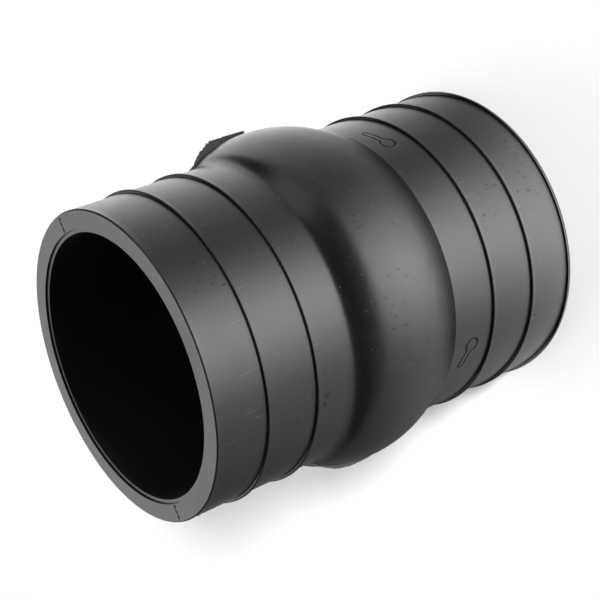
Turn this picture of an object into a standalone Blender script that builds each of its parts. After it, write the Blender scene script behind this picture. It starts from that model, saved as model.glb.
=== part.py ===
"""Exhaust bellows: one moulded rubber sleeve, two ribbed cuffs joined by a single hump.

The sleeve stands on its far end at z = 0 with its axis on +Z and its mould parting plane on X-Z.
"""

import math

import bmesh
import bpy
import numpy as np

MM = 0.001

# Sleeve
LENGTH = 169.2 * MM
BORE_RADIUS = 50.0 * MM
NEAR_WALL = 8.5 * MM
FAR_WALL = 11.1 * MM
COLUMNS = 56

# Clamp ribs, counted from each end
RIB_PITCH = 21.0 * MM
RIBS_PER_CUFF = 2
RIB_HEIGHT = 1.1 * MM
RIB_WIDTH = 1.3 * MM
RIB_CORNER = 0.45 * MM
RIB_DRAFT = 0.1 * MM
RIB_FILLET = 0.2 * MM

# Near end: rounded rim, a little proud of the land behind it
RIM_CORNER = 0.65 * MM
RIM_RISE = 0.15 * MM
RIM_SLOPE = 0.5 * MM

# Far end: a rib flush with the end face
FAR_RIB_WIDTH = 1.2 * MM
FAR_RIB_CORNER = 0.3 * MM

# Mouth of each end: a shallow step down to the bore
STEP_WIDTH = 1.6 * MM
STEP_DEPTH = 0.8 * MM
STEP_ROUND = 0.35 * MM

# Hump, outside, standing up from the land a little nearer the near end than the sleeve's middle
HUMP_SHIFT = 2.5 * MM
HUMP_RISE = 7.2 * MM
CROWN_ARC = 44.0 * MM
CROWN_HALF_WIDTH = 18.5 * MM
SHOULDER_ARC = 16.0 * MM
FOOT_ARC = 9.0 * MM

# Hump, inside
HOLLOW_WALL = 8.5 * MM
HOLLOW_CROWN_ARC = 23.0 * MM
HOLLOW_FOOT_ARC = 12.0 * MM

# Flash torn along the mould's parting plane, tallest as a fin up the hump's near flank,
# and the groove that the plane leaves across the near face
FLASH_WIDTH = 0.5 * MM
FLASH_HEIGHT = 0.9 * MM
FLASH_REACH = 2.4 * MM
FLASH_ROOT = 2.0 * MM
FLASH_STEP = 1.3 * MM
FLASH_BREAK = 0.25
FLASH_LEAST = 0.2 * MM
FIN_HEIGHT = 3.2 * MM
FIN_RISE = 14.0 * MM
FIN_FALL = 60.0 * MM
FIN_LENGTH = 32.0 * MM
FIN_TEETH = 0.2
FLASH_WAVES = (0.31, 0.83, 1.97)
FLASH_PHASES = (0.9, 2.6)
GROOVE_WIDTH = 0.5 * MM
GROOVE_DEPTH = 0.4 * MM
GROOVE_MARGIN = 0.5 * MM

RUBBER_COLOUR = (0.018, 0.018, 0.019, 1.0)
RUBBER_ROUGHNESS = 0.45
SHARP_ANGLE = math.radians(28)


def clear_scene():
    """Remove every object that the scene starts with."""
    for item in list(bpy.data.objects):
        bpy.data.objects.remove(item, do_unlink=True)


def arc(radius, start, end, steps):
    """Offsets along a turn of slope from start to end, as (run, drop) pairs without the first point."""
    angles = np.linspace(start, end, steps + 1)[1:]
    runs = radius * (np.sin(angles) - math.sin(start))
    drops = radius * (math.cos(start) - np.cos(angles))
    return list(zip(runs.tolist(), drops.tolist()))


def land(z):
    """Radius of the plain outside at one height: it grows evenly from the near end to the far end."""
    return BORE_RADIUS + FAR_WALL + (NEAR_WALL - FAR_WALL) * z / LENGTH


def hump_middle():
    """Height of the hump's crown on the axis."""
    return LENGTH / 2 + HUMP_SHIFT


def hump_radius():
    """Radius over the hump's crown."""
    return land(hump_middle()) + HUMP_RISE


def hump_half(base):
    """Half of the hump's outside, from its crown to a foot of one radius, as (run, radius)."""
    crown = hump_radius()
    crown_slope = math.asin(CROWN_HALF_WIDTH / CROWN_ARC)
    points = [(0.0, crown)]
    for run, drop in arc(CROWN_ARC, 0.0, crown_slope, 5):
        points.append((run, crown - drop))
    run_a, radius_a = points[-1]
    left = radius_a - base
    flank_cos = (SHOULDER_ARC * math.cos(crown_slope) + FOOT_ARC - left) / (SHOULDER_ARC + FOOT_ARC)
    flank = math.acos(flank_cos)
    for run, drop in arc(SHOULDER_ARC, crown_slope, flank, 3):
        points.append((run_a + run, radius_a - drop))
    run_b, radius_b = points[-1]
    for run, drop in arc(FOOT_ARC, flank, 0.0, 3):
        points.append((run_b - run, radius_b + drop))
    return points


def hump_side(way):
    """Half of the hump's outside towards the near end (1) or the far end (-1), as (height, radius)."""
    middle = hump_middle()
    half = hump_half(land(middle))
    for _ in range(3):
        half = hump_half(land(middle + way * half[-1][0]))
    return [(middle + way * run, radius) for run, radius in half]


def hollow_side():
    """Half of the hump's inside, from its crown to the bore, as (distance from the middle, radius)."""
    crown = hump_radius() - HOLLOW_WALL
    both = HOLLOW_CROWN_ARC + HOLLOW_FOOT_ARC
    flank = math.acos(1.0 - (crown - BORE_RADIUS) / both)
    points = [(0.0, crown)]
    for run, drop in arc(HOLLOW_CROWN_ARC, 0.0, flank, 5):
        points.append((run, crown - drop))
    run_a, radius_a = points[-1]
    for run, drop in arc(HOLLOW_FOOT_ARC, flank, 0.0, 3):
        points.append((run_a - run, radius_a + drop))
    return points


def rib(middle):
    """Outline of one rib across its width, as (height on the axis, radius), top first."""
    half = RIB_WIDTH / 2
    base = land(middle)
    top = base + RIB_HEIGHT
    side = [
        (half + RIB_DRAFT + RIB_FILLET, base),
        (half + RIB_DRAFT, base + RIB_FILLET / 2),
        (half, top - RIB_CORNER),
        (half - RIB_CORNER, top),
    ]
    upper = [(middle + z, r) for z, r in side]
    lower = [(middle - z, r) for z, r in reversed(side)]
    return upper + lower


def near_rim():
    """Near end from the face's outer edge over the rounded rim to the land."""
    corner = land(LENGTH) + RIM_RISE - RIM_CORNER
    points = []
    for angle in np.linspace(0.0, math.pi / 2, 4).tolist():
        drop = RIM_CORNER * (1.0 - math.cos(angle))
        points.append((LENGTH - drop, corner + RIM_CORNER * math.sin(angle)))
    end = LENGTH - RIM_CORNER - RIM_SLOPE
    points.append((end, land(end)))
    return points


def far_rim():
    """Far end from the land over the flush rib to the face's outer edge."""
    base = land(0.0)
    top = base + RIB_HEIGHT
    return [
        (FAR_RIB_WIDTH + RIB_DRAFT + RIB_FILLET, base),
        (FAR_RIB_WIDTH + RIB_DRAFT, base + RIB_FILLET / 2),
        (FAR_RIB_WIDTH, top),
        (FAR_RIB_CORNER, top),
        (0.0, top - FAR_RIB_CORNER),
    ]


def far_mouth():
    """Step in the far end, from the face's inner edge up into the bore."""
    return [
        (0.0, BORE_RADIUS + STEP_WIDTH),
        (STEP_DEPTH, BORE_RADIUS + STEP_WIDTH),
        (STEP_DEPTH, BORE_RADIUS + STEP_ROUND),
        (STEP_DEPTH + STEP_ROUND, BORE_RADIUS),
    ]


def section():
    """Closed outline of the wall, down its outside and back up its inside, as (height, radius)."""
    middle = hump_middle()
    hollow = hollow_side()
    outline = near_rim()
    for count in range(1, RIBS_PER_CUFF + 1):
        outline += rib(LENGTH - count * RIB_PITCH)
    outline += reversed(hump_side(1))
    outline += hump_side(-1)[1:]
    for count in range(RIBS_PER_CUFF, 0, -1):
        outline += rib(count * RIB_PITCH)
    outline += far_rim()
    outline += far_mouth()
    outline += [(middle - z, r) for z, r in reversed(hollow)]
    outline += [(middle + z, r) for z, r in hollow[1:]]
    outline += [(LENGTH - z, r) for z, r in reversed(far_mouth())]
    return outline


def ragged(z, phase):
    """Uneven height of torn flash at one place, below 0 where it has broken off and about 1 at most."""
    place = z / MM
    slow, middle, quick = FLASH_WAVES
    wave = 0.45 + 0.3 * math.sin(slow * place + phase)
    wave += 0.22 * math.sin(middle * place + 2.1 * phase)
    wave += 0.18 * math.sin(quick * place + 3.7 * phase)
    return wave - FLASH_BREAK


def fin(z, foot):
    """Height of the fin at one place up from the hump's near foot, before its teeth."""
    run = foot - z
    if run > FIN_LENGTH:
        return 0.0
    return FIN_HEIGHT * max(0.0, min(run / FIN_RISE, 1.0 - (run - FIN_RISE) / FIN_FALL))


def new_object(name, shape):
    """Object made from a bmesh, with its faces pointing out."""
    bmesh.ops.recalc_face_normals(shape, faces=shape.faces)
    mesh = bpy.data.meshes.new(name)
    shape.to_mesh(mesh)
    shape.free()
    item = bpy.data.objects.new(name, mesh)
    bpy.context.scene.collection.objects.link(item)
    return item


def build_sleeve():
    """Turn the wall's outline about the axis."""
    shape = bmesh.new()
    ring = [shape.verts.new((r, 0.0, z)) for z, r in section()]
    edges = [shape.edges.new(pair) for pair in zip(ring, ring[1:] + ring[:1])]
    bmesh.ops.spin(
        shape,
        geom=ring + edges,
        axis=(0.0, 0.0, 1.0),
        cent=(0.0, 0.0, 0.0),
        angle=math.tau,
        steps=COLUMNS,
        use_merge=True,
    )
    return new_object("bellows", shape)


def flash_outline(phase):
    """Outline of one side's flash sheet in the parting plane, as (height on the axis, radius)."""
    skin = [(0.0, land(0.0))] + hump_side(-1)[::-1] + hump_side(1)[1:] + [(LENGTH, land(LENGTH))]
    heights, radii = zip(*skin)
    bottom = FAR_RIB_WIDTH / 2
    top = LENGTH - RIM_CORNER - RIM_SLOPE
    edge = []
    root = []
    for z in np.linspace(bottom, top, round((top - bottom) / FLASH_STEP)).tolist():
        radius = float(np.interp(z, heights, radii))
        wave = ragged(z, phase)
        height = max(FLASH_HEIGHT * wave, fin(z, heights[-2]) * (1.0 + FIN_TEETH * wave))
        if height < FLASH_LEAST:
            height = -FLASH_LEAST
        edge.append((z, min(radius + height, hump_radius() + FLASH_REACH)))
        root.append((z, radius - FLASH_ROOT))
    return edge + root[::-1]


def build_flash():
    """Thin ragged sheet that stands out of each side on the parting plane."""
    shape = bmesh.new()
    for side, phase in zip((1, -1), FLASH_PHASES):
        outline = flash_outline(phase)
        ring = [shape.verts.new((side * r, -FLASH_WIDTH / 2, z)) for z, r in outline]
        sheet = shape.faces.new(ring)
        grown = bmesh.ops.extrude_face_region(shape, geom=[sheet])["geom"]
        moved = [item for item in grown if isinstance(item, bmesh.types.BMVert)]
        bmesh.ops.translate(shape, verts=moved, vec=(0.0, FLASH_WIDTH, 0.0))
    return new_object("flash", shape)


def build_groove():
    """Wedge that cuts the fine groove across the near face, one on each side."""
    shape = bmesh.new()
    inner = BORE_RADIUS + STEP_WIDTH + GROOVE_MARGIN
    outer = land(LENGTH) + RIM_RISE - RIM_CORNER - GROOVE_MARGIN
    above = LENGTH + GROOVE_DEPTH
    corners = ((-GROOVE_WIDTH, above), (GROOVE_WIDTH, above), (0.0, LENGTH - GROOVE_DEPTH))
    for side in (1, -1):
        ring = [shape.verts.new((side * inner, y, z)) for y, z in corners]
        end = shape.faces.new(ring)
        grown = bmesh.ops.extrude_face_region(shape, geom=[end])["geom"]
        moved = [item for item in grown if isinstance(item, bmesh.types.BMVert)]
        bmesh.ops.translate(shape, verts=moved, vec=(side * (outer - inner), 0.0, 0.0))
    return new_object("groove", shape)


def combine(body, tool, operation):
    """Join a shape to the body or cut it out, and keep that shape as a hidden tool."""
    step = body.modifiers.new(tool.name, "BOOLEAN")
    step.operation = operation
    step.solver = "EXACT"
    step.object = tool
    tool.hide_render = True
    tool.display_type = "WIRE"


def rubber():
    """Black moulded rubber with a satin skin."""
    material = bpy.data.materials.new("rubber")
    material.use_nodes = True
    skin = material.node_tree.nodes["Principled BSDF"]
    skin.inputs["Base Color"].default_value = RUBBER_COLOUR
    skin.inputs["Roughness"].default_value = RUBBER_ROUGHNESS
    return material


def main():
    """Build the bellows."""
    clear_scene()
    bellows = build_sleeve()
    bellows.data.materials.append(rubber())
    bellows.data.shade_smooth()
    bellows.data.set_sharp_from_angle(angle=SHARP_ANGLE)
    combine(bellows, build_flash(), "UNION")
    combine(bellows, build_groove(), "DIFFERENCE")


main()
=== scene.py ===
"""Exhaust bellows in moulded black rubber: dressed sleeve, pale floor, soft studio light and camera."""

import logging
import math
from dataclasses import dataclass, field
from enum import Enum

import bpy
from mathutils import Matrix, Vector


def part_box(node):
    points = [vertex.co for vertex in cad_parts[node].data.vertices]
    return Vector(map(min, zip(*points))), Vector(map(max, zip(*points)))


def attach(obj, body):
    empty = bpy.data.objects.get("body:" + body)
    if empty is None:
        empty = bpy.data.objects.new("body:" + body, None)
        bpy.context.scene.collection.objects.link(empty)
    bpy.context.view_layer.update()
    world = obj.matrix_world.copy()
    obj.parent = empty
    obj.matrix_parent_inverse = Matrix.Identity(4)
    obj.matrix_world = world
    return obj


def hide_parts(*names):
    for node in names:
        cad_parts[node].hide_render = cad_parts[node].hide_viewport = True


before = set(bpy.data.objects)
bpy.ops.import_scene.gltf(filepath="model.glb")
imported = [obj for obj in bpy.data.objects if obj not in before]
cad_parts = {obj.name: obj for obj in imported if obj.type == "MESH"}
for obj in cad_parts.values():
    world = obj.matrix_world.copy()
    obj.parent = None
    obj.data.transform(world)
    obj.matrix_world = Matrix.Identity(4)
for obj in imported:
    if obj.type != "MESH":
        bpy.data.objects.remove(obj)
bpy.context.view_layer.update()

logging.basicConfig(level=logging.INFO, format="%(message)s")
LOG = logging.getLogger("bellows")

MM = 0.001
NODE = "bellows"
BODY = "root"
SHARP_ANGLE = math.radians(35)
MERGE_DISTANCE = 1e-6
TOUCH_MM = 0.01
LEAST_STEPS = 4

Point = tuple[float, float]
Tree = bpy.types.NodeTree
Source = bpy.types.Node | bpy.types.NodeSocket

MATH = "ShaderNodeMath"
VECTOR = "ShaderNodeVectorMath"
RANGE = "ShaderNodeMapRange"
NOISE = "ShaderNodeTexNoise"
MAPPING = "ShaderNodeMapping"
SPLIT = "ShaderNodeSeparateXYZ"
SAMPLE = "GeometryNodeSampleIndex"


def linear(code: str) -> tuple[float, float, float, float]:
    """Turn an sRGB hex colour into linear RGBA.

    Args:
        code: Colour as "#rrggbb".

    Returns:
        Linear red, green, blue and an alpha of 1.
    """
    channels = [int(code[start:start + 2], 16) / 255 for start in (1, 3, 5)]
    red, green, blue = (c / 12.92 if c <= 0.04045 else ((c + 0.055) / 1.055) ** 2.4 for c in channels)
    return red, green, blue, 1.0


def add(tree: Tree, kind: str, inputs: dict | tuple = (), **settings) -> bpy.types.Node:
    """Add one node with its settings, values and links.

    Args:
        tree: Node tree that takes the node.
        kind: Blender's identifier of the node.
        inputs: Values or sources by input name, or in the inputs' order. A node stands for its first output.
        **settings: Properties of the node itself.

    Returns:
        The new node.
    """
    node = tree.nodes.new(kind)
    for name, value in settings.items():
        setattr(node, name, value)
    pairs = inputs.items() if isinstance(inputs, dict) else enumerate(inputs)
    for key, value in pairs:
        source = value.outputs[0] if isinstance(value, bpy.types.Node) else value
        if isinstance(source, bpy.types.NodeSocket):
            tree.links.new(source, node.inputs[key])
        else:
            node.inputs[key].default_value = source
    return node


def per_metre(size_mm: float) -> float:
    """How many features of one size in millimetres fit into a metre."""
    return 1.0 / (size_mm * MM)


def drawn_out(size_mm: Point) -> tuple[float, float, float]:
    """Scale of coordinates in which a feature, drawn out along the axis, is one unit wide and long.

    Args:
        size_mm: Width and length of the feature, in millimetres.

    Returns:
        Scale along each axis.
    """
    across, along = (per_metre(size) for size in size_mm)
    return across, across, along


def spots(tree: Tree, place: Source, scale: float, edge: Point, rarity: float, channel: str) -> Source:
    """Round spots in a few cells of a random pattern.

    Args:
        tree: Material's node tree.
        place: Coordinates.
        scale: Cells to one unit of the coordinates.
        edge: Distances from a spot's middle where it starts and ends to fade, in cells.
        rarity: Share of the cells that stay empty.
        channel: Colour channel that picks the cells.

    Returns:
        Source of the spots, 0 to 1.
    """
    cells = add(tree, "ShaderNodeTexVoronoi", {"Vector": place, "Scale": scale}).outputs
    pick = add(tree, "ShaderNodeSeparateColor", {"Color": cells["Color"]}).outputs[channel]
    spot = add(tree, RANGE, (cells["Distance"], *edge, 1.0, 0.0))
    return add(tree, MATH, (
        spot, add(tree, MATH, (pick, rarity), operation="GREATER_THAN")), operation="MULTIPLY")


def carried(tree: Tree, line: Source, name: str, index: Source) -> Source:
    """A number that a line's point carries under a name.

    Args:
        tree: Geometry node tree.
        line: The line's geometry.
        name: Name of the number.
        index: Number of the point.

    Returns:
        Source of that point's number.
    """
    named = add(tree, "GeometryNodeInputNamedAttribute", {"Name": name}, data_type="FLOAT")
    return add(tree, SAMPLE, {
        "Geometry": line, "Value": named.outputs["Attribute"], "Index": index}, data_type="FLOAT")


def open_sockets(tree: bpy.types.GeometryNodeTree, numbers: dict[str, str], skins: list[str]) -> None:
    """Give a geometry tree its inputs and its output.

    Args:
        tree: The tree.
        numbers: Kind of each number by its name.
        skins: Names of its materials.
    """
    face = tree.interface
    face.new_socket("Geometry", in_out="INPUT", socket_type="NodeSocketGeometry")
    for name, kind in numbers.items():
        face.new_socket(name, in_out="INPUT", socket_type="NodeSocket" + kind)
    for name in skins:
        face.new_socket(name, in_out="INPUT", socket_type="NodeSocketMaterial")
    face.new_socket("Geometry", in_out="OUTPUT", socket_type="NodeSocketGeometry")


def quarter(middle: Point, radius: float, start: float, steps: int) -> list[Point]:
    """Quarter of a circle, with both its ends.

    Args:
        middle: Height and radius of the circle's middle.
        radius: The circle's own radius.
        start: Direction of the first point, in quarter turns.
        steps: Number of chords.

    Returns:
        Pairs of height and radius.
    """
    turns = [(start + step / steps) * math.pi / 2 for step in range(steps + 1)]
    return [(middle[0] + radius * math.cos(turn), middle[1] + radius * math.sin(turn)) for turn in turns]


def turn_plain(item: bpy.types.Object, tree: bpy.types.GeometryNodeTree, values: dict) -> bpy.types.Object:
    """Run a node tree on an object and keep its result as a plain mesh.

    Args:
        item: Object whose mesh feeds the tree.
        tree: Tree to run.
        values: The tree's inputs by name.

    Returns:
        The same object, with no modifier left on it.
    """
    step = item.modifiers.new(tree.name, "NODES")
    step.node_group = tree
    for socket in tree.interface.items_tree:
        if socket.in_out == "INPUT" and socket.name in values:
            step[socket.identifier] = values[socket.name]
    item.update_tag()
    graph = bpy.context.evaluated_depsgraph_get()
    mesh = bpy.data.meshes.new_from_object(item.evaluated_get(graph), depsgraph=graph)
    mesh.name = item.name
    for number in reversed(range(len(mesh.materials))):
        if mesh.materials[number] is None:
            mesh.materials.pop(index=number)
    item.modifiers.clear()
    item.data = mesh
    mesh.shade_smooth()
    mesh.set_sharp_from_angle(angle=SHARP_ANGLE)
    LOG.info("%s: %d faces", item.name, len(mesh.polygons))
    return item


class Zone(Enum):
    """The three skins that one moulding shows."""

    # Satin black that softly mirrors the pale surroundings.
    SKIN = "moulded rubber, outer skin"
    # Greyer and flatter, so the ring of the end face stands clear of the bore.
    FACE = "moulded rubber, end face"
    # Darker than the rubber outside and dull: painted shade deep in the bore, so that the eye reads depth.
    BORE = "moulded rubber, bore"


@dataclass(frozen=True)
class MouldMark:
    """Key-shaped outline in the skin: a round head and a stem.

    Sizes are in millimetres, the bearing is in degrees.
    """

    bearing: float
    height: float
    stem: Point
    radius: float = 60.3
    head: float = 2.9
    stem_half: float = 1.2
    line: float = 0.45

    def draw(self, tree: Tree, turn: Source, height: Source) -> Source:
        """Draw the outline.

        Args:
            tree: Material's node tree.
            turn: Bearing of the shaded point, in radians.
            height: Its height on the axis, in metres.

        Returns:
            Source that is 1 on the line and 0 away from it.
        """
        across = add(tree, MATH, (
            turn, self.radius, -math.radians(self.bearing) * self.radius), operation="MULTIPLY_ADD")
        along = add(tree, MATH, (height, 1.0 / MM, -self.height), operation="MULTIPLY_ADD")
        point = add(tree, "ShaderNodeCombineXYZ", {"X": across, "Y": along}).outputs[0]
        stem = Vector((*self.stem, 0.0))
        share = add(tree, VECTOR, {
            0: point, 1: stem / stem.length_squared}, operation="DOT_PRODUCT").outputs["Value"]
        held = add(tree, "ShaderNodeClamp", {"Value": share}).outputs[0]
        nearest = add(tree, VECTOR, {0: stem, "Scale": held}, operation="SCALE").outputs[0]
        off_stem = add(tree, VECTOR, {
            0: point, 1: nearest}, operation="DISTANCE").outputs["Value"]
        off_head = add(tree, VECTOR, {0: point}, operation="LENGTH").outputs["Value"]
        past_stem = add(tree, MATH, (off_stem, self.stem_half), operation="SUBTRACT")
        past_head = add(tree, MATH, (off_head, self.head), operation="SUBTRACT")
        edge = add(tree, MATH, (past_stem, past_head), operation="MINIMUM")
        away = add(tree, MATH, (edge,), operation="ABSOLUTE")
        return add(tree, RANGE, (away, self.line / 2, self.line, 1.0, 0.0))


@dataclass(frozen=True)
class Hairlines:
    """Sparse fine scratches from handling, short and nearly along the axis. Sizes are in millimetres."""

    size: Point = (0.7, 7.0)
    lean: tuple[float, float, float] = (0.25, 0.2, 0.0)
    edge: Point = (0.78, 0.84)
    amount: float = 0.3

    def draw(self, tree: Tree, place: Source) -> Source:
        """Draw them.

        Args:
            tree: Material's node tree.
            place: Coordinates in metres.

        Returns:
            Source of the scratches, 0 to 1.
        """
        drawn = add(tree, MAPPING, {
            "Vector": place, "Rotation": self.lean, "Scale": drawn_out(self.size)})
        drift = add(tree, NOISE, {"Vector": drawn, "Scale": 1.0, "Detail": 0.0})
        return add(tree, RANGE, (drift, *self.edge, 0.0, self.amount))


@dataclass(frozen=True)
class Specks:
    """Pale specks of dust and mould residue. The size is in millimetres."""

    size: float = 2.2
    edge: Point = (0.08, 0.17)
    rarity: float = 0.93
    amount: float = 0.5

    def draw(self, tree: Tree, place: Source) -> Source:
        """Draw them.

        Args:
            tree: Material's node tree.
            place: Coordinates in metres.

        Returns:
            Source of the specks, 0 to 1.
        """
        found = spots(tree, place, per_metre(self.size), self.edge, self.rarity, "Red")
        return add(tree, MATH, (found, self.amount), operation="MULTIPLY")


@dataclass(frozen=True)
class Dents:
    """Small dark ticks where the skin was nicked, gathered in a few places. Sizes are in millimetres."""

    size: Point = (1.0, 3.0)
    lean: tuple[float, float, float] = (0.5, 0.4, 0.0)
    edge: Point = (0.12, 0.42)
    rarity: float = 0.9
    bend_size: float = 9.0909
    bend_reach: float = 7.0
    cluster_size: float = 23.8095
    cluster_edge: Point = (0.5, 0.6)
    amount: float = 0.65

    def draw(self, tree: Tree, place: Source) -> Source:
        """Draw them.

        Args:
            tree: Material's node tree.
            place: Coordinates in metres.

        Returns:
            Source of the dents, 0 to 1.
        """
        bend = add(tree, NOISE, {"Vector": place, "Scale": per_metre(self.bend_size), "Detail": 1.0})
        bent = add(tree, VECTOR, (
            bend.outputs["Color"], (self.bend_reach * MM,) * 3, place), operation="MULTIPLY_ADD")
        drawn = add(tree, MAPPING, {"Vector": bent, "Rotation": self.lean, "Scale": drawn_out(self.size)})
        ticks = spots(tree, drawn, 1.0, self.edge, self.rarity, "Green")
        cluster = add(tree, NOISE, {"Vector": place, "Scale": per_metre(self.cluster_size), "Detail": 1.0})
        near = add(tree, RANGE, (cluster, *self.cluster_edge, 0.0, 1.0))
        return add(tree, MATH, (ticks, near), operation="MULTIPLY")


@dataclass(frozen=True)
class PaintedFlankShade:
    """Painted shade low on the hump's far flank, on the side that faces the light: it takes the gloss away
    and roughens the skin. Sizes are in millimetres.
    """

    heights: Point = (62.0, 88.0)
    sides: Point = (-52.0, -22.0)
    margin: float = 0.5
    amount: float = 0.85
    roughness: float = 0.35

    def draw(self, tree: Tree, place: Source) -> Source:
        """Lay the painted shade on.

        Args:
            tree: Material's node tree.
            place: Coordinates in metres.

        Returns:
            Source of the painted shade, 0 where the skin is untouched and 1 at most.
        """
        spot = add(tree, SPLIT, (place,)).outputs
        low, high = (height * MM for height in self.heights)
        front, back = (side * MM for side in self.sides)
        fade = add(tree, RANGE, (spot["Z"], low, high, 1.0, 0.0), interpolation_type="SMOOTHSTEP")
        above = add(tree, MATH, (spot["Z"], low - self.margin * MM), operation="GREATER_THAN")
        facing = add(tree, RANGE, (spot["Y"], front, back, 1.0, 0.0), interpolation_type="SMOOTHSTEP")
        return add(tree, MATH, (
            add(tree, MATH, (fade, above), operation="MULTIPLY"), facing), operation="MULTIPLY")


@dataclass(frozen=True)
class RubberFinish:
    """Black rubber as it comes out of a steel mould: satin, slightly uneven, with handling marks.

    Sizes are in millimetres on the surface. The polish lines are finer than the eye sees: they only
    widen the gloss.
    """

    zone: Zone
    base: str
    worn: str
    roughness: float
    roughness_spread: float
    ior: float = 1.52
    specular: float = 0.5
    cloud: float = 14.0
    polish: Point = (0.0016, 0.045)
    polish_relief: float = 0.6
    grain: float = 0.5
    grain_height: float = 0.012
    layers: float = 0.55
    mottle: Point = (0.6, 1.4)
    wear_roughness: float = 0.12
    hairlines: Hairlines = Hairlines()
    specks: Specks = Specks()
    dents: Dents = Dents()
    # Painted shade on the hump's far flank.
    painted_flank_shade: PaintedFlankShade = PaintedFlankShade()
    marks: tuple[MouldMark, ...] = (
        MouldMark(-46.5, 52.8, (10.2, 2.0)),
        MouldMark(-132.5, 52.2, (-8.1, 4.0)),
    )
    mark_shade: float = 0.95
    mark_depth: float = 0.3

    def material(self) -> bpy.types.Material:
        """Build the material.

        Returns:
            A node material for this skin.
        """
        material = bpy.data.materials.new(self.zone.value)
        material.use_nodes = True
        tree = material.node_tree
        tree.nodes.clear()
        place = add(tree, "ShaderNodeTexCoord").outputs["Object"]
        clouds = add(tree, NOISE, {
            "Vector": place, "Scale": per_metre(self.cloud), "Detail": 3.0, "Roughness": self.layers})
        drawn = add(tree, MAPPING, {"Vector": place, "Scale": drawn_out(self.polish)})
        polish = add(tree, NOISE, {
            "Vector": drawn, "Scale": 1.0, "Detail": 2.0, "Roughness": self.layers})
        grain = add(tree, NOISE, {
            "Vector": place, "Scale": per_metre(self.grain), "Detail": 2.0, "Roughness": self.layers})
        wear = add(tree, MATH, (
            self.hairlines.draw(tree, place), self.specks.draw(tree, place)), operation="MAXIMUM")
        marks = self._marks(tree, place)
        # Painted shade on the hump's far flank, which lowers the gloss there.
        painted_flank_shade = self.painted_flank_shade.draw(tree, place)

        whole = add(tree, MATH, (
            self.dents.draw(tree, place), -self.dents.amount, 1.0), operation="MULTIPLY_ADD")
        plain = add(tree, MATH, (marks, -self.mark_shade, 1.0), operation="MULTIPLY_ADD")
        # The painted shade takes most of the gloss away; it also roughens the skin below.
        shine = add(tree, MATH, (
            painted_flank_shade, -self.specular * self.painted_flank_shade.amount, self.specular), operation="MULTIPLY_ADD")
        gloss = add(tree, MATH, (
            shine, add(tree, MATH, (whole, plain), operation="MULTIPLY")), operation="MULTIPLY")

        colour = add(tree, "ShaderNodeMix", {
            "Factor": wear, "A": linear(self.base), "B": linear(self.worn)}, data_type="RGBA")
        least, most = self.roughness - self.roughness_spread, self.roughness + self.roughness_spread
        mottled = add(tree, MATH, (clouds, polish), operation="ADD")
        satin = add(tree, RANGE, (mottled, *self.mottle, least, most))
        rubbed = add(tree, MATH, (wear, self.wear_roughness, satin), operation="MULTIPLY_ADD")
        dulled = add(tree, MATH, (painted_flank_shade, self.painted_flank_shade.roughness, rubbed), operation="MULTIPLY_ADD")

        relief = add(tree, MATH, (polish, self.polish_relief, grain), operation="MULTIPLY_ADD")
        marked = add(tree, MATH, (
            marks, -self.mark_depth / self.grain_height, relief), operation="MULTIPLY_ADD")
        bump = add(tree, "ShaderNodeBump", {
            "Strength": 1.0, "Distance": self.grain_height * MM, "Height": marked})
        rubber = add(tree, "ShaderNodeBsdfPrincipled", {
            "Base Color": colour.outputs["Result"],
            "Roughness": dulled,
            "IOR": self.ior,
            "Specular IOR Level": gloss,
            "Normal": bump.outputs["Normal"]})
        add(tree, "ShaderNodeOutputMaterial", {"Surface": rubber.outputs["BSDF"]})
        return material

    def _marks(self, tree: Tree, place: Source) -> Source:
        """Plain key-shaped outlines that the mould leaves on the far cuff.

        Args:
            tree: Material's node tree.
            place: Coordinates in metres.

        Returns:
            Source of the outlines, 0 to 1.
        """
        spot = add(tree, SPLIT, (place,)).outputs
        turn = add(tree, MATH, (spot["Y"], spot["X"]), operation="ARCTAN2")
        lines, *others = [mark.draw(tree, turn, spot["Z"]) for mark in self.marks]
        for line in others:
            lines = add(tree, MATH, (lines, line), operation="MAXIMUM")
        return lines


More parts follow.
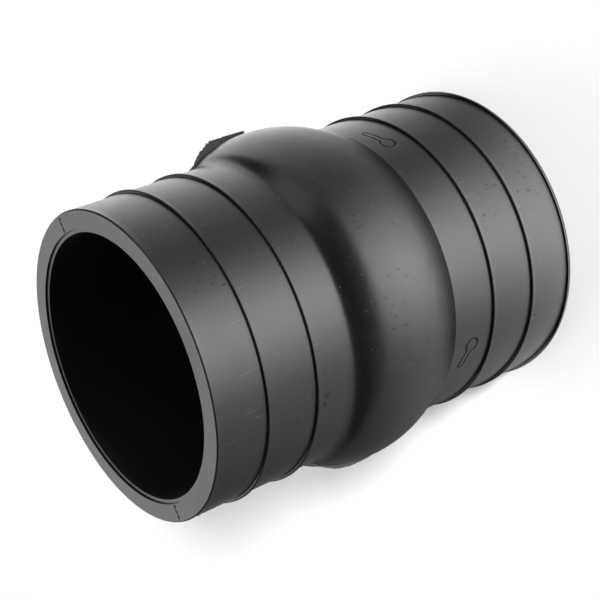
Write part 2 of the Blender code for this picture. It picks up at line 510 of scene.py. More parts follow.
@dataclass
class Sleeve:
    """The moulding: two ribbed cuffs and the hump between them.

    Sizes are in millimetres. Points at a rib's foot are given in fillets, outward and upward.
    """

    length: float = 169.2
    bore_radius: float = 50.0
    near_wall: float = 8.5
    far_wall: float = 11.1
    rib_pitch: float = 21.0
    ribs_per_cuff: int = 2
    rib_height: float = 1.1
    rib_width: float = 1.3
    rib_corner: float = 0.45
    rib_draft: float = 0.1
    rib_fillet: float = 0.2
    rib_foot: tuple[Point, ...] = ((1.0, 0.0), (0.35, 0.12), (0.0, 0.5))
    rib_taper: Point = (0.9, 0.1)
    rib_flank: Point = (0.7, 0.2)
    rib_steps: int = 5
    rim_corner: float = 0.65
    rim_steps: int = 6
    rim_rise: float = 0.15
    rim_slope: float = 0.5
    far_rib_width: float = 1.2
    far_rib_corner: float = 0.3
    far_steps: int = 4
    step_width: float = 1.6
    step_depth: float = 0.8
    step_round: float = 0.35
    hump_shift: float = 2.5
    hump_rise: float = 7.2
    crown_arc: float = 44.0
    crown_half_width: float = 18.5
    shoulder_arc: float = 16.0
    foot_arc: float = 9.0
    hollow_wall: float = 8.5
    hollow_crown_arc: float = 23.0
    hollow_foot_arc: float = 12.0
    groove_half: float = 0.16
    groove_blot: float = 0.3
    groove_depth: float = 0.8
    groove_sway: float = 0.22
    groove_margin: float = 0.4
    groove_fade: float = 1.5
    groove_waves: Point = (3.1, 1.7)
    groove_phases: Point = (0.4, 2.0)
    columns: int = 320
    seam_crowding: float = 0.9
    station: float = 1.7
    bore_station: float = 5.1
    face_station: float = 0.3
    unevenness: float = 0.12
    unevenness_level: float = 0.9
    unevenness_size: float = 22.0
    finishes: dict[Zone, bpy.types.Material] = field(default_factory=dict)

    def land(self, z: float) -> float:
        """Radius of the plain outside at one height, which grows evenly towards the far end."""
        return self.bore_radius + self.far_wall + (self.near_wall - self.far_wall) * z / self.length

    @property
    def hump_middle(self) -> float:
        """Height of the hump's crown on the axis."""
        return self.length / 2 + self.hump_shift

    @property
    def hump_radius(self) -> float:
        """Radius over the hump's crown."""
        return self.land(self.hump_middle) + self.hump_rise

    def _arc(self, radius: float, start: float, end: float) -> list[Point]:
        """Offsets along a turn of slope, without its first point.

        Args:
            radius: Radius of the turn.
            start: Slope at its start, in radians.
            end: Slope at its end.

        Returns:
            Pairs of run along the axis and drop in radius.
        """
        steps = max(LEAST_STEPS, round(abs(end - start) * radius / self.station))
        points = []
        for step in range(1, steps + 1):
            angle = start + (end - start) * step / steps
            points.append((radius * (math.sin(angle) - math.sin(start)),
                           radius * (math.cos(start) - math.cos(angle))))
        return points

    def _hump_half(self, base: float) -> list[Point]:
        """Half of the hump's outside down to a foot of one radius.

        Args:
            base: Radius at the foot.

        Returns:
            Pairs of run from the middle and radius, from the crown to the foot.
        """
        slope = math.asin(self.crown_half_width / self.crown_arc)
        top = self.hump_radius
        points = [(0.0, top)]
        points += [(run, top - drop) for run, drop in self._arc(self.crown_arc, 0.0, slope)]
        run_a, radius_a = points[-1]
        both = self.shoulder_arc + self.foot_arc
        flank = math.acos((self.shoulder_arc * math.cos(slope) + self.foot_arc - (radius_a - base)) / both)
        shoulder = self._arc(self.shoulder_arc, slope, flank)
        points += [(run_a + run, radius_a - drop) for run, drop in shoulder]
        run_b, radius_b = points[-1]
        points += [(run_b - run, radius_b + drop) for run, drop in self._arc(self.foot_arc, flank, 0.0)]
        return points

    def hump_side(self, way: int) -> list[Point]:
        """Half of the hump's outside towards one end.

        Args:
            way: 1 for the near end, -1 for the far end.

        Returns:
            Pairs of height and radius, from the crown to the land.
        """
        middle = self.hump_middle
        half = self._hump_half(self.land(middle))
        for _ in range(3):
            half = self._hump_half(self.land(middle + way * half[-1][0]))
        return [(middle + way * run, radius) for run, radius in half]

    def hollow_side(self) -> list[Point]:
        """Half of the hump's inside.

        Returns:
            Pairs of distance from the middle and radius, from the crown to the bore.
        """
        crown = self.hump_radius - self.hollow_wall
        both = self.hollow_crown_arc + self.hollow_foot_arc
        flank = math.acos(1.0 - (crown - self.bore_radius) / both)
        points = [(0.0, crown)]
        points += [(run, crown - drop) for run, drop in self._arc(self.hollow_crown_arc, 0.0, flank)]
        run_a, radius_a = points[-1]
        foot = self._arc(self.hollow_foot_arc, flank, 0.0)
        points += [(run_a - run, radius_a + drop) for run, drop in foot]
        return points

    def rib(self, middle: float) -> list[Point]:
        """Outline of one rib across its width, with a soft foot and a soft crest.

        Args:
            middle: Height of the rib's middle on the axis.

        Returns:
            Pairs of height and radius, top first.
        """
        half = self.rib_width / 2
        base = self.land(middle)
        heart = base + self.rib_height - self.rib_corner
        root = half + self.rib_draft
        low, high = (half + self.rib_draft * share for share in self.rib_taper)
        above, below = (self.rib_fillet * share for share in self.rib_flank)
        side = [(root + self.rib_fillet * out, base + self.rib_fillet * up) for out, up in self.rib_foot]
        side += [(low, base + above), (high, heart - below)]
        side += quarter((half - self.rib_corner, heart), self.rib_corner, 0.0, self.rib_steps)
        upper = [(middle + z, r) for z, r in side]
        lower = [(middle - z, r) for z, r in reversed(side)]
        return upper + lower

    def near_rim(self) -> list[Point]:
        """Near end from the face's outer edge over the rounded rim to the land."""
        corner = self.land(self.length) + self.rim_rise - self.rim_corner
        points = quarter((self.length - self.rim_corner, corner), self.rim_corner, 0.0, self.rim_steps)
        end = self.length - self.rim_corner - self.rim_slope
        return points + [(end, self.land(end))]

    def far_rim(self) -> list[Point]:
        """Far end from the land over the flush rib to the face's outer edge."""
        base = self.land(0.0)
        top = base + self.rib_height
        foot = self.far_rib_width + self.rib_draft
        corner = self.far_rib_corner
        points = [(foot + self.rib_fillet, base), (foot, base + self.rib_fillet / 2)]
        points.append((self.far_rib_width, top))
        return points + quarter((corner, top - corner), corner, 1.0, self.far_steps)

    def far_mouth(self) -> list[Point]:
        """Step in the far end, from the face's inner edge up into the bore."""
        edge = self.bore_radius + self.step_width
        middle = (self.step_depth + self.step_round, self.bore_radius + self.step_round)
        return [(0.0, edge), (self.step_depth, edge)] + quarter(middle, self.step_round, 2.0, self.far_steps)

    def outline(self) -> list[Point]:
        """Closed outline of the wall, down its outside and back up its inside.

        Returns:
            Pairs of height on the axis and radius, no step longer than the station spacing.
        """
        middle = self.hump_middle
        hollow = self.hollow_side()
        corners = self.near_rim()
        for count in range(1, self.ribs_per_cuff + 1):
            corners += self.rib(self.length - count * self.rib_pitch)
        corners += reversed(self.hump_side(1))
        corners += self.hump_side(-1)[1:]
        for count in range(self.ribs_per_cuff, 0, -1):
            corners += self.rib(count * self.rib_pitch)
        corners += self.far_rim()
        corners += self.far_mouth()
        corners += [(middle - z, r) for z, r in reversed(hollow)]
        corners += [(middle + z, r) for z, r in hollow[1:]]
        corners += [(self.length - z, r) for z, r in reversed(self.far_mouth())]
        return self._divided(corners)

    def _divided(self, corners: list[Point]) -> list[Point]:
        """Cut long steps of a closed outline into short ones.

        Args:
            corners: Outline's own points.

        Returns:
            The same outline with points added on its long steps.
        """
        points = []
        for (z_a, r_a), (z_b, r_b) in zip(corners, corners[1:] + corners[:1]):
            spacing = self.station
            if max(r_a, r_b) < self.bore_radius + TOUCH_MM:
                spacing = self.bore_station
            if min(z_a, z_b) > self.length - TOUCH_MM:
                spacing = self.face_station
            steps = max(1, round(math.hypot(z_b - z_a, r_b - r_a) / spacing))
            for step in range(steps):
                share = step / steps
                points.append((z_a + (z_b - z_a) * share, r_a + (r_b - r_a) * share))
        return points

    def groove(self, z: float, radius: float, phase: float) -> tuple[float, float, float]:
        """The ragged line that the mould's parting plane leaves across the near face, at one station.

        Args:
            z: Height on the axis.
            radius: Radius of the skin there.
            phase: Which side's pattern.

        Returns:
            Depth, half width and sideways shift in millimetres.
        """
        inner = self.bore_radius + self.step_width + self.groove_margin
        outer = self.land(self.length) + self.rim_rise - self.rim_corner - self.groove_margin
        on_face = z > self.length - TOUCH_MM and inner < radius < outer
        blot_wave, sway_wave = self.groove_waves
        blot = max(0.0, math.sin(blot_wave * radius + phase)) ** 3
        sway = self.groove_sway * math.sin(sway_wave * radius + 2.0 * phase)
        return self.groove_depth * on_face, self.groove_half + self.groove_blot * blot, sway

    def zone_of(self, start: Point, end: Point) -> Zone:
        """Which skin one step of the outline belongs to.

        Args:
            start: Height and radius at the step's start.
            end: The same at its end.

        Returns:
            The zone.
        """
        near_face = self.length - TOUCH_MM
        at_end = max(start[0], end[0]) < TOUCH_MM or min(start[0], end[0]) > near_face
        ledge = self.step_depth + self.step_round + TOUCH_MM
        in_mouth = max(start[1], end[1]) < self.bore_radius + self.step_width + TOUCH_MM
        near_end = max(start[0], end[0]) < ledge or min(start[0], end[0]) > self.length - ledge
        if at_end or (in_mouth and near_end):
            return Zone.FACE
        middle = (start[0] + end[0]) / 2
        halfway = self.bore_radius + self.near_wall - 2 * TOUCH_MM
        in_wall = min(start[1], end[1]) < halfway and TOUCH_MM < middle < near_face - self.rim_corner
        return Zone.BORE if in_wall else Zone.SKIN

    def section_object(self) -> bpy.types.Object:
        """Closed line of the wall's outline, with the zone and the groove of both sides on its points.

        Returns:
            An object whose vertices follow the outline in the X-Z plane.
        """
        points = self.outline()
        mesh = bpy.data.meshes.new("section")
        count = len(points)
        mesh.from_pydata([(r * MM, 0.0, z * MM) for z, r in points],
                         [(n, (n + 1) % count) for n in range(count)], [])
        zones = list(Zone)
        kinds = [zones.index(self.zone_of(points[n], points[(n + 1) % count])) for n in range(count)]
        mesh.attributes.new("zone", "FLOAT", "POINT").data.foreach_set("value", kinds)
        for side, phase in zip(("front", "back"), self.groove_phases):
            cuts = [self.groove(z, r, phase) for z, r in points]
            for name, values in zip(("depth", "half", "sway"), zip(*cuts)):
                layer = mesh.attributes.new(f"groove_{name}_{side}", "FLOAT", "POINT")
                layer.data.foreach_set("value", [v * MM for v in values])
        item = bpy.data.objects.new(NODE + "_skin", mesh)
        bpy.context.scene.collection.objects.link(item)
        return item

    def sweep_tree(self) -> bpy.types.GeometryNodeTree:
        """Node tree that turns the outline about the axis and cuts the groove across the near face.

        Returns:
            The tree, with its sizes as named inputs.
        """
        tree = bpy.data.node_groups.new("turned sleeve", "GeometryNodeTree")
        open_sockets(tree, {"Columns": "Int", "Seam Crowding": "Float", "Unevenness": "Float",
                            "Unevenness Size": "Float"}, [zone.value for zone in Zone])
        given = add(tree, "NodeGroupInput").outputs
        here = add(tree, "GeometryNodeInputPosition").outputs[0]
        line = given["Geometry"]
        count = add(tree, "GeometryNodeAttributeDomainSize", {"Geometry": line}).outputs["Point Count"]
        wide = add(tree, MATH, (given["Columns"], 1.0), operation="ADD")
        rows = add(tree, MATH, (count, 1.0), operation="ADD")
        grid = add(tree, "GeometryNodeMeshGrid", {
            "Size X": 1.0, "Size Y": 1.0, "Vertices X": wide, "Vertices Y": rows}).outputs["Mesh"]
        spot = add(tree, SPLIT, (here,)).outputs
        along = add(tree, MATH, (
            add(tree, MATH, (spot["Y"], 0.5), operation="ADD"), count), operation="MULTIPLY")
        station = add(tree, MATH, (
            add(tree, MATH, (along,), operation="ROUND"), count), operation="FLOORED_MODULO")
        stretch = add(tree, MATH, (along,), operation="FLOOR")
        turn = add(tree, MATH, (
            add(tree, MATH, (spot["X"], 0.5), operation="ADD"), math.tau), operation="MULTIPLY")
        doubled = add(tree, MATH, (turn, 2.0), operation="MULTIPLY")
        swing = add(tree, MATH, (doubled,), operation="SINE")
        crowd = add(tree, MATH, (swing, given["Seam Crowding"]), operation="MULTIPLY")
        angle = add(tree, MATH, (
            turn, add(tree, MATH, (crowd, 0.5), operation="MULTIPLY")), operation="SUBTRACT")
        marked = add(tree, "GeometryNodeStoreNamedAttribute", {
            "Geometry": grid, "Name": "zone", "Value": carried(tree, line, "zone", stretch)},
            data_type="FLOAT", domain="FACE").outputs[0]

        held = add(tree, SAMPLE, {
            "Geometry": line, "Value": here, "Index": station}, data_type="FLOAT_VECTOR")
        base = add(tree, SPLIT, (held,)).outputs
        radius, height = base["X"], base["Z"]
        sine = add(tree, MATH, (angle,), operation="SINE")
        cosine = add(tree, MATH, (angle,), operation="COSINE")
        sideways = add(tree, MATH, (sine, radius), operation="MULTIPLY")
        in_front = add(tree, MATH, (cosine, 0.0), operation="GREATER_THAN")
        behind = add(tree, MATH, (1.0, in_front), operation="SUBTRACT")

        def of_side(name: str) -> Source:
            """The groove's value for the side on which a point lies."""
            front = add(tree, MATH, (
                carried(tree, line, f"groove_{name}_front", station), in_front), operation="MULTIPLY")
            back = carried(tree, line, f"groove_{name}_back", station)
            return add(tree, MATH, (back, behind, front), operation="MULTIPLY_ADD")

        off_middle = add(tree, MATH, (sideways, of_side("sway")), operation="SUBTRACT")
        aside = add(tree, MATH, (off_middle,), operation="ABSOLUTE")
        share = add(tree, MATH, (
            self.groove_fade,
            add(tree, MATH, (aside, of_side("half")), operation="DIVIDE")), operation="SUBTRACT")
        raised = add(tree, MATH, (share, 0.0), operation="MAXIMUM")
        held_share = add(tree, MATH, (raised, 1.0), operation="MINIMUM")
        sunk = add(tree, MATH, (of_side("depth"), held_share), operation="MULTIPLY")
        turned = add(tree, "ShaderNodeCombineXYZ", {
            "X": add(tree, MATH, (cosine, radius), operation="MULTIPLY"),
            "Y": sideways,
            "Z": add(tree, MATH, (height, sunk), operation="SUBTRACT")}).outputs[0]
        swept = add(tree, "GeometryNodeSetPosition", {"Geometry": marked, "Position": turned}).outputs[0]
        facing = add(tree, "GeometryNodeFlipFaces", {"Mesh": swept}).outputs[0]
        closed = add(tree, "GeometryNodeMergeByDistance", {
            "Geometry": facing, "Distance": MERGE_DISTANCE}).outputs[0]

        per_size = add(tree, MATH, (1.0, given["Unevenness Size"]), operation="DIVIDE")
        wave = add(tree, NOISE, {"Vector": here, "Scale": per_size, "Detail": 1.0})
        centred = add(tree, MATH, (wave, self.unevenness_level), operation="SUBTRACT")
        swell = add(tree, MATH, (centred, given["Unevenness"]), operation="MULTIPLY")
        flat = add(tree, "ShaderNodeCombineXYZ", {"X": spot["X"], "Y": spot["Y"]}).outputs[0]
        out = add(tree, VECTOR, {0: flat}, operation="NORMALIZE").outputs[0]
        sway = add(tree, VECTOR, {0: out, "Scale": swell}, operation="SCALE").outputs[0]
        dressed = add(tree, "GeometryNodeSetPosition", {"Geometry": closed, "Offset": sway}).outputs[0]

        kind = add(tree, "GeometryNodeInputNamedAttribute", {"Name": "zone"}, data_type="FLOAT")
        for number, zone in enumerate(Zone):
            chosen = add(tree, "FunctionNodeCompare", {
                "A": kind.outputs["Attribute"], "B": float(number), "Epsilon": 0.1},
                data_type="FLOAT", operation="EQUAL").outputs[0]
            dressed = add(tree, "GeometryNodeSetMaterial", {
                "Geometry": dressed, "Selection": chosen, "Material": given[zone.value]}).outputs[0]
        whole = add(tree, "GeometryNodeRealizeInstances", {"Geometry": dressed}).outputs[0]
        add(tree, "NodeGroupOutput", {"Geometry": whole})
        return tree

    def build(self) -> bpy.types.Object:
        """Sweep the section and turn the result into one plain mesh.

        Returns:
            The dressed sleeve, with no modifier left on it.
        """
        line = self.section_object()
        tree = self.sweep_tree()
        values = {
            "Columns": self.columns,
            "Seam Crowding": self.seam_crowding,
            "Unevenness": self.unevenness * MM,
            "Unevenness Size": self.unevenness_size * MM,
        }
        values.update({zone.value: material for zone, material in self.finishes.items()})
        return turn_plain(line, tree, values)


@dataclass
class Flash:
    """Thin torn sheets of rubber on the mould's parting plane, one on each side. Sizes are in millimetres.

    They are tallest as a fin up the hump's near flank and broken into short bits elsewhere. A wave has
    its radians per millimetre, its share of the height and how much of a side's phase it takes.
    """

    sleeve: Sleeve
    height: float = 0.8
    reach: float = 2.0
    gap: float = 0.25
    sunk: float = 0.3
    fin_height: float = 3.0
    fin_rise: float = 14.0
    fin_fall: float = 60.0
    fin_length: float = 32.0
    fin_teeth: float = 0.25
    fin_shares: Point = (1.0, 0.4)
    level: float = 0.45
    waves: tuple[tuple[float, float, float], ...] = ((0.31, 0.3, 1.0), (0.83, 0.22, 2.1), (1.97, 0.18, 3.7))
    tooth_share: float = 0.7
    tooth_waves: Point = (5.3, 2.1)
    phases: Point = (0.9, 2.6)
    root_half: float = 0.24
    tip_half: float = 0.06
    lean: float = 0.16
    bends_per_metre: float = 400.0
    root: float = 1.2
    station: float = 0.4
    finish: bpy.types.Material | None = None

    def _ragged(self, z: float, phase: float) -> float:
        """Uneven height of torn rubber at one height on the axis, below 0 where it has broken off."""
        wave = self.level
        for turns, share, phases in self.waves:
            wave += share * math.sin(turns * z + phases * phase)
        return wave - self.gap

    def _fin(self, run: float) -> float:
        """Height of the whole fin at one distance from the hump's near foot, before it is torn."""
        if run > self.fin_length:
            return 0.0
        fall = 1.0 - (run - self.fin_rise) / self.fin_fall
        return self.fin_height * max(0.0, min(run / self.fin_rise, fall))

    def profile(self, phase: float, share: float) -> list[tuple[float, float, float]]:
        """Root and tip of one sheet along the axis.

        Args:
            phase: Which side's tear pattern.
            share: How much of the fin that side has kept.

        Returns:
            Triples of height on the axis, root radius and tip radius.
        """
        body = self.sleeve
        skin = body.hump_side(-1)[::-1] + body.hump_side(1)[1:]
        skin = [(0.0, body.land(0.0))] + skin + [(body.length, body.land(body.length))]
        foot = skin[-2][0]
        start = body.far_rib_width / 2
        end = body.length - body.rim_corner - body.rim_slope
        count = round((end - start) / self.station)
        found = []
        for number in range(count + 1):
            z = start + (end - start) * number / count
            after = next(n for n, (place, _) in enumerate(skin) if place > z)
            (z_a, r_a), (z_b, r_b) = skin[after - 1], skin[after]
            radius = r_a + (r_b - r_a) * (z - z_a) / (z_b - z_a)
            wave = self._ragged(z, phase)
            quick, slow = self.tooth_waves
            teeth = self.tooth_share * math.sin(quick * z) * math.sin(slow * z + phase)
            torn = 1.0 + self.fin_teeth * (wave + teeth)
            tall = max(self.height * wave, self._fin(foot - z) * share * torn)
            tip = min(radius + tall, body.hump_radius + self.reach)
            found.append((z, radius - self.root, max(tip, radius - self.sunk)))
        return found

    def line(self) -> bpy.types.Object:
        """Both sheets' middle lines, with root and tip on their points.

        Returns:
            An object with two lines of vertices.
        """
        sides = zip((1.0, -1.0), self.phases, self.fin_shares)
        rows = [(side, *row) for side, phase, share in sides for row in self.profile(phase, share)]
        mesh = bpy.data.meshes.new("flash line")
        mesh.from_pydata([(0.0, 0.0, z * MM) for _, z, _, _ in rows], [], [])
        for name, values in (("side", [row[0] for row in rows]), ("root", [row[2] * MM for row in rows]),
                             ("tip", [row[3] * MM for row in rows])):
            mesh.attributes.new(name, "FLOAT", "POINT").data.foreach_set("value", values)
        item = bpy.data.objects.new(NODE + "_flash", mesh)
        bpy.context.scene.collection.objects.link(item)
        return item

    def _sheet(self, tree: Tree, given: bpy.types.bpy_prop_collection, order: int) -> Source:
        """One closed thin wedge along its line.

        Args:
            tree: The tree that takes it.
            given: The tree's inputs.
            order: Which of the two lines.

        Returns:
            Source of the wedge's geometry.
        """
        line = given["Geometry"]
        here = add(tree, "GeometryNodeInputPosition").outputs[0]
        grid = add(tree, "GeometryNodeMeshGrid", {
            "Size X": 4.0, "Size Y": 1.0, "Vertices X": 5, "Vertices Y": given["Points"]}).outputs["Mesh"]
        spot = add(tree, SPLIT, (here,)).outputs
        last = add(tree, MATH, (given["Points"], 1.0), operation="SUBTRACT")
        shifted = add(tree, MATH, (spot["Y"], 0.5), operation="ADD")
        spread_out = add(tree, MATH, (shifted, last), operation="MULTIPLY")
        along = add(tree, MATH, (spread_out,), operation="ROUND")
        index = add(tree, MATH, (given["Points"], float(order), along), operation="MULTIPLY_ADD")
        column = add(tree, MATH, (spot["X"], 2.0), operation="ADD")
        whole_column = add(tree, MATH, (column,), operation="ROUND")
        corner = add(tree, MATH, (whole_column, 4.0), operation="FLOORED_MODULO")
        held = add(tree, SAMPLE, {
            "Geometry": line, "Value": here, "Index": index}, data_type="FLOAT_VECTOR")
        height = add(tree, SPLIT, (held,)).outputs["Z"]
        at_tip = add(tree, MATH, (
            add(tree, MATH, (corner, 0.5), operation="GREATER_THAN"),
            add(tree, MATH, (corner, 2.5), operation="LESS_THAN")), operation="MULTIPLY")
        hand = add(tree, MATH, (
            add(tree, MATH, (corner, 1.5), operation="GREATER_THAN"), 2.0, -1.0), operation="MULTIPLY_ADD")
        before_last = add(tree, MATH, (
            along, add(tree, MATH, (last, 0.5), operation="SUBTRACT")), operation="LESS_THAN")
        inside = add(tree, MATH, (
            add(tree, MATH, (along, 0.5), operation="GREATER_THAN"), before_last), operation="MULTIPLY")
        thinning = add(tree, MATH, (given["Tip Half"], given["Root Half"]), operation="SUBTRACT")
        thick = add(tree, MATH, (at_tip, thinning, given["Root Half"]), operation="MULTIPLY_ADD")
        place = add(tree, MATH, (height, self.bends_per_metre), operation="MULTIPLY")
        bend = add(tree, NOISE, {"W": place, "Detail": 1.0}, noise_dimensions="1D")
        centred = add(tree, MATH, (bend, 0.5), operation="SUBTRACT")
        leaning = add(tree, MATH, (centred, given["Lean"]), operation="MULTIPLY")
        sway = add(tree, MATH, (leaning, at_tip), operation="MULTIPLY")
        swayed = add(tree, MATH, (sway, inside), operation="MULTIPLY")
        across = add(tree, MATH, (
            add(tree, MATH, (hand, thick), operation="MULTIPLY"), inside, swayed), operation="MULTIPLY_ADD")
        root = carried(tree, line, "root", index)
        tall = add(tree, MATH, (carried(tree, line, "tip", index), root), operation="SUBTRACT")
        rise = add(tree, MATH, (
            tall, add(tree, MATH, (at_tip, inside), operation="MULTIPLY")), operation="MULTIPLY")
        reach = add(tree, MATH, (
            add(tree, MATH, (root, rise), operation="ADD"),
            carried(tree, line, "side", index)), operation="MULTIPLY")
        spread = add(tree, "ShaderNodeCombineXYZ", {"X": reach, "Y": across, "Z": height}).outputs[0]
        return add(tree, "GeometryNodeSetPosition", {"Geometry": grid, "Position": spread}).outputs[0]

    def tree(self) -> bpy.types.GeometryNodeTree:
        """Node tree that makes a closed thin wedge along each line.

        Returns:
            The tree, with its sizes as named inputs.
        """
        tree = bpy.data.node_groups.new("torn sheet", "GeometryNodeTree")
        open_sockets(tree, {
            "Points": "Int", "Root Half": "Float", "Tip Half": "Float", "Lean": "Float"}, ["Finish"])
        given = add(tree, "NodeGroupInput").outputs
        front = self._sheet(tree, given, 0)
        back = add(tree, "GeometryNodeFlipFaces", {"Mesh": self._sheet(tree, given, 1)}).outputs[0]
        both = add(tree, "GeometryNodeJoinGeometry")
        for sheet in (front, back):
            tree.links.new(sheet, both.inputs["Geometry"])
        closed = add(tree, "GeometryNodeMergeByDistance", {
            "Geometry": both.outputs[0], "Distance": MERGE_DISTANCE}).outputs[0]
        whole = add(tree, "GeometryNodeRealizeInstances", {"Geometry": closed}).outputs[0]
        dressed = add(tree, "GeometryNodeSetMaterial", {
            "Geometry": whole, "Material": given["Finish"]}).outputs[0]
        add(tree, "NodeGroupOutput", {"Geometry": dressed})
        return tree

    def build(self) -> bpy.types.Object:
        """Make both sheets as one plain mesh.

        Returns:
            The sheets' object, with no modifier left on it.
        """
        line = self.line()
        return turn_plain(line, self.tree(), {
            "Points": len(line.data.vertices) // 2,
            "Root Half": self.root_half * MM,
            "Tip Half": self.tip_half * MM,
            "Lean": self.lean * MM,
            "Finish": self.finish,
        })


@dataclass(frozen=True)
class Panel:
    """A soft light panel aimed at the part.

    Bearing and height are those of its middle as seen from the part's middle; sizes are in metres.
    """

    name: str
    bearing: float
    rise: float
    distance: float
    width: float
    height: float
    radiance: float
    floor_only: bool = False

    def build(self, middle: Vector, floor: bpy.types.Collection) -> bpy.types.Object:
        """Place the panel.

        Args:
            middle: Point that it faces.
            floor: Collection with the floor, which alone takes the light of a floor lamp.

        Returns:
            The light's object.
        """
        across = math.radians(self.bearing)
        up = math.radians(self.rise)
        away = Vector((math.cos(up) * math.cos(across), math.cos(up) * math.sin(across), math.sin(up)))
        lamp = bpy.data.lights.new(self.name, "AREA")
        lamp.shape = "RECTANGLE"
        lamp.size = self.width
        lamp.size_y = self.height
        lamp.energy = self.radiance * math.pi * self.width * self.height
        item = bpy.data.objects.new(self.name, lamp)
        item.location = middle + away * self.distance
        item.rotation_euler = away.to_track_quat("Z", "Y").to_euler()
        item.visible_camera = False
        if self.floor_only:
            item.light_linking.receiver_collection = floor
        bpy.context.scene.collection.objects.link(item)
        return item


@dataclass(frozen=True)
class Lobe:
    """One soft bright direction of the light table: bearing and half width in degrees, and radiance."""

    bearing: float
    width: float
    radiance: float

    def at(self, bearing: float) -> float:
        """Radiance that the lobe adds at one bearing."""
        away = (bearing - self.bearing + 180.0) % 360.0 - 180.0
        return self.radiance * math.exp(-((away / self.width) ** 2))


@dataclass(frozen=True)
class LightTable:
    """Backlit board round the part's foot, whose glow the cuffs mirror. Sizes are in millimetres.

    The camera looks past it at the plain floor.
    """

    lobes: tuple[Lobe, ...]
    base: float = 0.1
    inner: float = 62.0
    outer: float = 1600.0
    rings: int = 9
    spokes: int = 72
    lift: float = 0.6
    foot_share: float = 0.95
    foot_reach: float = 130.0

    def radiance(self, bearing: float, radius: float) -> float:
        """Radiance at one place of the board.

        Args:
            bearing: Direction from the part's axis, in degrees.
            radius: Distance from the axis.

        Returns:
            The radiance; 1 is white.
        """
        share = 1.0 if radius > self.foot_reach else self.foot_share
        return (self.base + sum(lobe.at(bearing) for lobe in self.lobes)) * share

    def build(self) -> bpy.types.Object:
        """Lay the board just above the floor.

        Returns:
            The board's object, hidden from the camera.
        """
        growth = (self.outer / self.inner) ** (1.0 / self.rings)
        places = []
        glow = []
        for ring in range(self.rings + 1):
            radius = self.inner * growth ** ring
            for spoke in range(self.spokes):
                bearing = 360.0 * spoke / self.spokes
                across = math.radians(bearing)
                place = (radius * math.cos(across), radius * math.sin(across), self.lift)
                places.append([length * MM for length in place])
                glow.append(self.radiance(bearing, radius))
        faces = []
        for ring in range(self.rings):
            for spoke in range(self.spokes):
                here, after = ring * self.spokes + spoke, ring * self.spokes + (spoke + 1) % self.spokes
                faces.append((here, here + self.spokes, after + self.spokes, after))
        mesh = bpy.data.meshes.new("light table")
        mesh.from_pydata(places, [], faces)
        mesh.attributes.new("glow", "FLOAT", "POINT").data.foreach_set("value", glow)
        board = bpy.data.objects.new("light table", mesh)
        bpy.context.scene.collection.objects.link(board)
        mesh.materials.append(self._material())
        board.visible_camera = False
        board.visible_shadow = False
        return board

    def _material(self) -> bpy.types.Material:
        """Opal acrylic lit from behind: it shines upward and lets light down to the floor."""
        material = bpy.data.materials.new("opal acrylic, backlit")
        material.use_nodes = True
        tree = material.node_tree
        tree.nodes.clear()
        level = add(tree, "ShaderNodeAttribute", attribute_name="glow").outputs["Fac"]
        under = add(tree, "ShaderNodeNewGeometry").outputs["Backfacing"]
        shine = add(tree, "ShaderNodeEmission", {"Color": linear("#ffffff"), "Strength": level}).outputs[0]
        clear = add(tree, "ShaderNodeBsdfTransparent").outputs[0]
        mixed = add(tree, "ShaderNodeMixShader", {0: under, 1: shine, 2: clear})
        add(tree, "ShaderNodeOutputMaterial", {"Surface": mixed.outputs[0]})
        return material


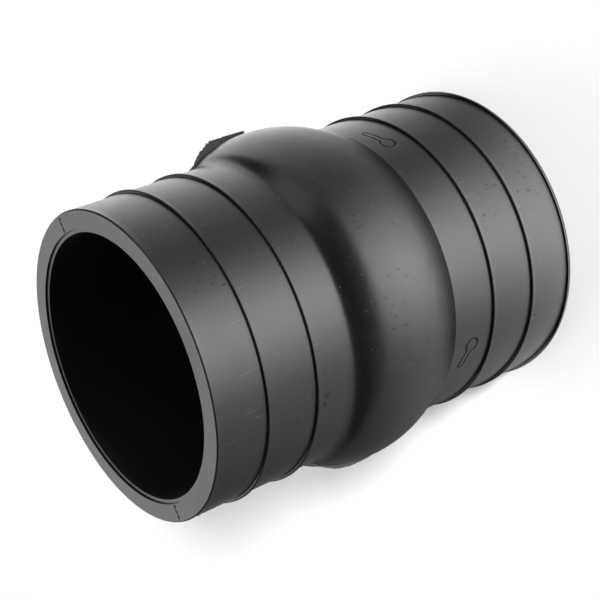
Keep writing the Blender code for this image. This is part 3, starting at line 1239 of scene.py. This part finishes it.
@dataclass
class Studio:
    """Pale floor under the part, a plain surround, the light table and soft panels."""

    floor_colour: str = "#f2f2f2"
    floor_side: float = 8.0
    floor_glow: float = 0.05
    glow_reach: tuple[float, float] = (0.5, 1.2)
    surround: float = 0.1
    table: LightTable | None = None
    panels: list[Panel] = field(default_factory=list)

    def build(self, middle: Vector) -> None:
        """Build the floor, the surround and the lights.

        Args:
            middle: Middle of the part.
        """
        floor = bpy.data.collections.new("floor")
        floor.objects.link(self._floor())
        self._surround()
        if self.table:
            self.table.build()
        for panel in self.panels:
            panel.build(middle, floor)
        scene = bpy.context.scene
        scene.view_settings.view_transform = "Standard"

    def _floor(self) -> bpy.types.Object:
        """Lay the floor under the far end.

        Returns:
            The floor's object.
        """
        half = self.floor_side / 2
        corners = [(-half, -half, 0), (half, -half, 0), (half, half, 0), (-half, half, 0)]
        mesh = bpy.data.meshes.new("floor")
        mesh.from_pydata(corners, [], [(0, 1, 2, 3)])
        floor = bpy.data.objects.new("floor", mesh)
        bpy.context.scene.collection.objects.link(floor)
        material = bpy.data.materials.new("painted board")
        material.use_nodes = True
        tree = material.node_tree
        tree.nodes.clear()
        paint = add(tree, "ShaderNodeBsdfDiffuse", {"Color": linear(self.floor_colour)})
        glow = add(tree, "ShaderNodeEmission", {"Color": linear("#ffffff"), "Strength": 1.0})
        seen = add(tree, "ShaderNodeLightPath").outputs["Is Camera Ray"]
        place = add(tree, "ShaderNodeTexCoord").outputs["Object"]
        away = add(tree, VECTOR, {0: place}, operation="LENGTH").outputs["Value"]
        level = add(tree, RANGE, (
            away, *self.glow_reach, self.floor_glow, 1.0), interpolation_type="SMOOTHSTEP")
        share = add(tree, MATH, (seen, level), operation="MULTIPLY")
        mixed = add(tree, "ShaderNodeMixShader", {0: share, 1: paint.outputs[0], 2: glow.outputs[0]})
        add(tree, "ShaderNodeOutputMaterial", {"Surface": mixed.outputs[0]})
        mesh.materials.append(material)
        return floor

    def _surround(self) -> None:
        """Plain surround: white to the eye, dimmer as a light."""
        world = bpy.data.worlds.new("surround")
        bpy.context.scene.world = world
        world.use_nodes = True
        tree = world.node_tree
        tree.nodes.clear()
        seen = add(tree, "ShaderNodeLightPath").outputs["Is Camera Ray"]
        level = add(tree, "ShaderNodeMix", {
            "Factor": seen, "A": self.surround, "B": 1.0}, data_type="FLOAT").outputs["Result"]
        light = add(tree, "ShaderNodeBackground", {"Color": linear("#ffffff"), "Strength": level})
        add(tree, "ShaderNodeOutputWorld", {"Surface": light.outputs[0]})


@dataclass(frozen=True)
class PhotoCamera:
    """The photograph's camera, held close to the part and rolled.

    Place, lens and sensor are in millimetres, angles in degrees, and the clip range is in metres.
    """

    place: tuple[float, float, float] = (-3.70, -415.49, 364.12)
    bearing: float = 89.621
    dip: float = 33.705
    roll: float = -111.649
    lens: float = 76.92
    sensor: float = 36.0
    clip: Point = (0.01, 50.0)

    def build(self) -> bpy.types.Object:
        """Create the camera and make it the scene's own.

        Returns:
            The camera's object.
        """
        data = bpy.data.cameras.new("camera")
        data.lens = self.lens
        data.sensor_width = self.sensor
        data.clip_start, data.clip_end = self.clip
        item = bpy.data.objects.new("camera", data)
        across, down = math.radians(self.bearing), math.radians(self.dip)
        level = math.cos(down)
        forward = Vector((level * math.cos(across), level * math.sin(across), -math.sin(down)))
        right = forward.cross(Vector((0, 0, 1))).normalized()
        up = right.cross(forward)
        turn = math.radians(self.roll)
        side = right * math.cos(turn) + up * math.sin(turn)
        head = up * math.cos(turn) - right * math.sin(turn)
        item.matrix_world = Matrix.Translation(Vector(self.place) * MM) @ Matrix(
            (side, head, -forward)).transposed().to_4x4()
        bpy.context.scene.collection.objects.link(item)
        bpy.context.scene.camera = item
        return item


TABLE = LightTable(lobes=(
    Lobe(-95.0, 31.0, 5.0),
    Lobe(-150.0, 40.0, 0.7),
    Lobe(30.0, 55.0, 1.5),
))

PANELS = [
    Panel("face light", 90.0, 30.0, 1.2, 0.9, 0.7, 1.8),
    Panel("rib light", 90.0, 60.0, 1.2, 0.9, 0.6, 3.2),
    Panel("shadow light", -80.0, 29.0, 2.4, 0.26, 0.26, 390.0, floor_only=True),
    Panel("side light", -25.0, 20.0, 1.2, 0.8, 0.8, 0.9),
    Panel("top light", -60.0, 70.0, 1.2, 1.0, 1.0, 0.5),
]


def main() -> None:
    """Build the camera, the sleeve and the studio."""
    PhotoCamera().build()
    LOG.info("camera placed")
    finishes = {
        Zone.SKIN: RubberFinish(Zone.SKIN, "#141415", "#5a5a5a", 0.25, 0.07).material(),
        Zone.FACE: RubberFinish(Zone.FACE, "#1f1f20", "#505050", 0.4, 0.04).material(),
        # The bore's darker colour is painted shade.
        Zone.BORE: RubberFinish(Zone.BORE, "#0a0a0b", "#202020", 0.6, 0.03).material(),
    }
    sleeve = Sleeve(finishes=finishes)
    flash = Flash(sleeve, finish=finishes[Zone.SKIN])
    for piece in (sleeve.build(), flash.build()):
        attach(piece, BODY)
        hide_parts(NODE)
    low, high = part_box(NODE)
    Studio(table=TABLE, panels=PANELS).build((low + high) / 2)
    LOG.info("studio lit")


if __name__ == "__main__":
    main()
